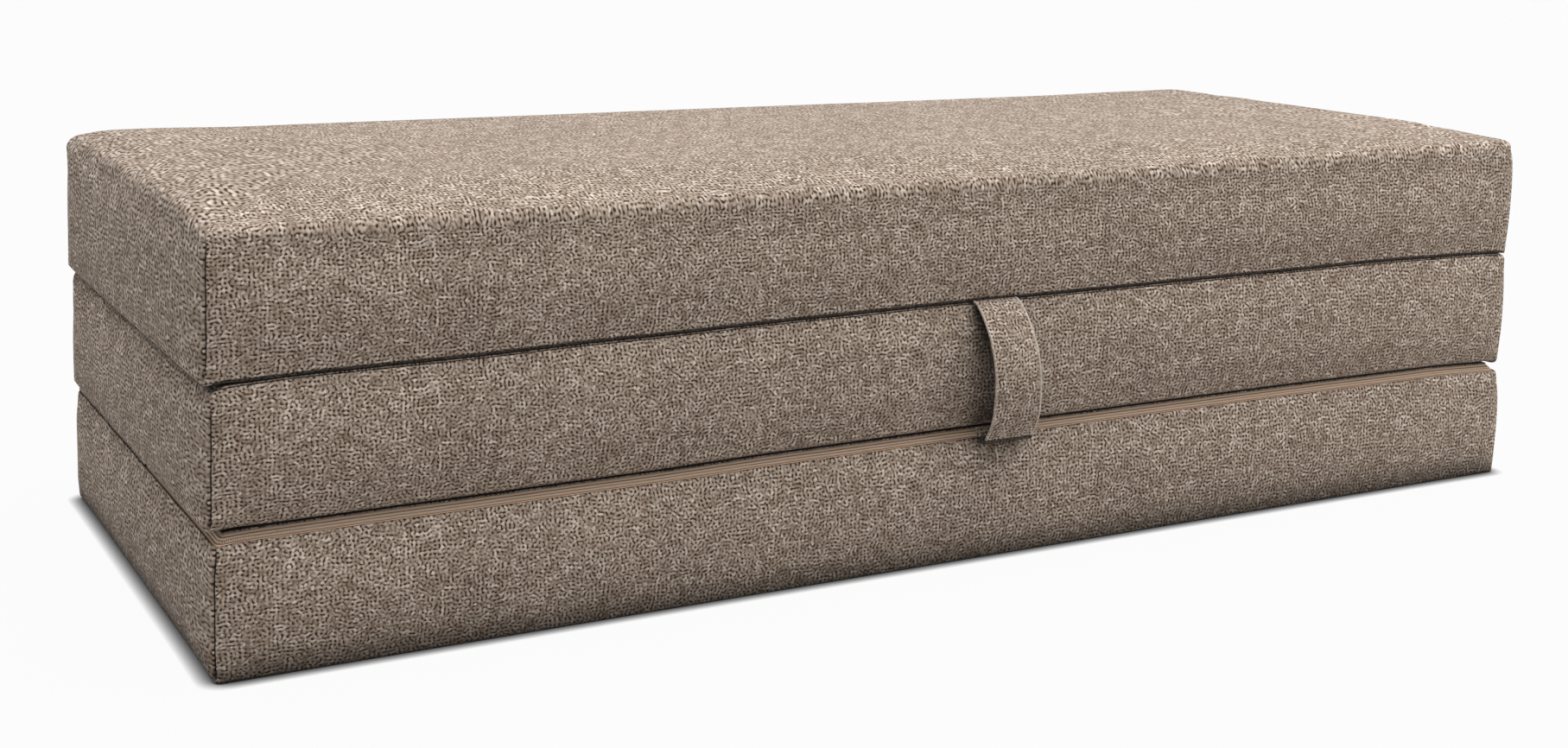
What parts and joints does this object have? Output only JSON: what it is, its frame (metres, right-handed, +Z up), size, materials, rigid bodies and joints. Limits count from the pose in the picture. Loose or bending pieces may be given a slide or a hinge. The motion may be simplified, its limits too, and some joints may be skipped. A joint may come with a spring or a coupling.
{
  "type": "folding mattress",
  "caption": "Folding guest mattress: foam sections in zipped woven covers, joined by cloth fold strips, with a strap handle; it stacks as a low seat and opens into a bed.",
  "frame": {"origin": "middle of the folded stack's floor face", "axes": "+X runs along the sections' long side, -Y is the front with the strap handle, +Z is up through the stack"},
  "size_m": [1.6048, 0.7159, 0.4358],
  "materials": {
    "woven_upholstery": "matte",
    "polyurethane_foam": "matte",
    "zip_tape": "matte",
    "zip_coil": "satin",
    "enamelled_zinc": "satin"
  },
  "bodies": {
    "bottom_section": {"bottom_foam": "polyurethane_foam", "bottom_cover": "woven_upholstery", "bottom_panel": "woven_upholstery", "bottom_zip_lower_tape": "zip_tape", "bottom_zip_upper_tape": "zip_tape", "bottom_zip_teeth": "zip_coil", "bottom_zip_start_stop": "enamelled_zinc", "bottom_zip_lower_end_stop": "enamelled_zinc", "bottom_zip_upper_end_stop": "enamelled_zinc", "back_fold_strip": "woven_upholstery"},
    "middle_section": {"middle_foam": "polyurethane_foam", "middle_cover": "woven_upholstery", "middle_panel": "woven_upholstery", "middle_zip_lower_tape": "zip_tape", "middle_zip_upper_tape": "zip_tape", "middle_zip_teeth": "zip_coil", "middle_zip_start_stop": "enamelled_zinc", "middle_zip_lower_end_stop": "enamelled_zinc", "middle_zip_upper_end_stop": "enamelled_zinc", "front_fold_strip": "woven_upholstery", "strap_handle": "woven_upholstery"},
    "top_section": {"top_foam": "polyurethane_foam", "top_cover": "woven_upholstery", "top_panel": "woven_upholstery", "top_zip_lower_tape": "zip_tape", "top_zip_upper_tape": "zip_tape", "top_zip_teeth": "zip_coil", "top_zip_start_stop": "enamelled_zinc", "top_zip_lower_end_stop": "enamelled_zinc", "top_zip_upper_end_stop": "enamelled_zinc"},
    "bottom_slider": {"bottom_zip_slider": "enamelled_zinc"},
    "bottom_pull": {"bottom_zip_pull": "enamelled_zinc"},
    "middle_slider": {"middle_zip_slider": "enamelled_zinc"},
    "middle_pull": {"middle_zip_pull": "enamelled_zinc"},
    "top_slider": {"top_zip_slider": "enamelled_zinc"},
    "top_pull": {"top_zip_pull": "enamelled_zinc"}
  },
  "joints": [
    {"name": "back_fold", "type": "hinge", "parent": "bottom_section", "child": "middle_section", "pos_m": [0, 0.33643, 0.1437], "axis": [-1, 0, 0], "range_deg": [0, 180], "deforming": ["back_fold_strip"]},
    {"name": "front_fold", "type": "hinge", "parent": "middle_section", "child": "top_section", "pos_m": [0, -0.33643, 0.2881], "axis": [1, 0, 0], "range_deg": [0, 180], "deforming": ["front_fold_strip", "strap_handle"]},
    {"name": "bottom_zip_slide", "type": "slide", "parent": "bottom_section", "child": "bottom_slider", "axis": [0, -1, 0], "range_m": [0, 0.25], "deforming": ["bottom_zip_teeth", "bottom_zip_upper_tape", "bottom_zip_lower_tape"]},
    {"name": "middle_zip_slide", "type": "slide", "parent": "middle_section", "child": "middle_slider", "axis": [0, -1, 0], "range_m": [0, 0.57], "deforming": ["middle_zip_teeth", "middle_zip_upper_tape", "middle_zip_lower_tape"]},
    {"name": "top_zip_slide", "type": "slide", "parent": "top_section", "child": "top_slider", "axis": [1, 0, 0], "range_m": [0, 1.505], "deforming": ["top_zip_teeth", "top_zip_upper_tape", "top_zip_lower_tape"]},
    {"name": "bottom_pull_hinge", "type": "hinge", "parent": "bottom_slider", "child": "bottom_pull", "pos_m": [0.79675, -0.04483, 0.13835], "axis": [-0.7071, 0, 0.7071], "range_deg": [0, 165]},
    {"name": "middle_pull_hinge", "type": "hinge", "parent": "middle_slider", "child": "middle_pull", "pos_m": [0.79675, 0.29663, 0.28275], "axis": [-0.7071, 0, 0.7071], "range_deg": [0, 165]},
    {"name": "top_pull_hinge", "type": "hinge", "parent": "top_slider", "child": "top_pull", "pos_m": [-0.7633, 0.32911, 0.42517], "axis": [0, -0.7071, 0.7071], "range_deg": [0, 165]}
  ]
}
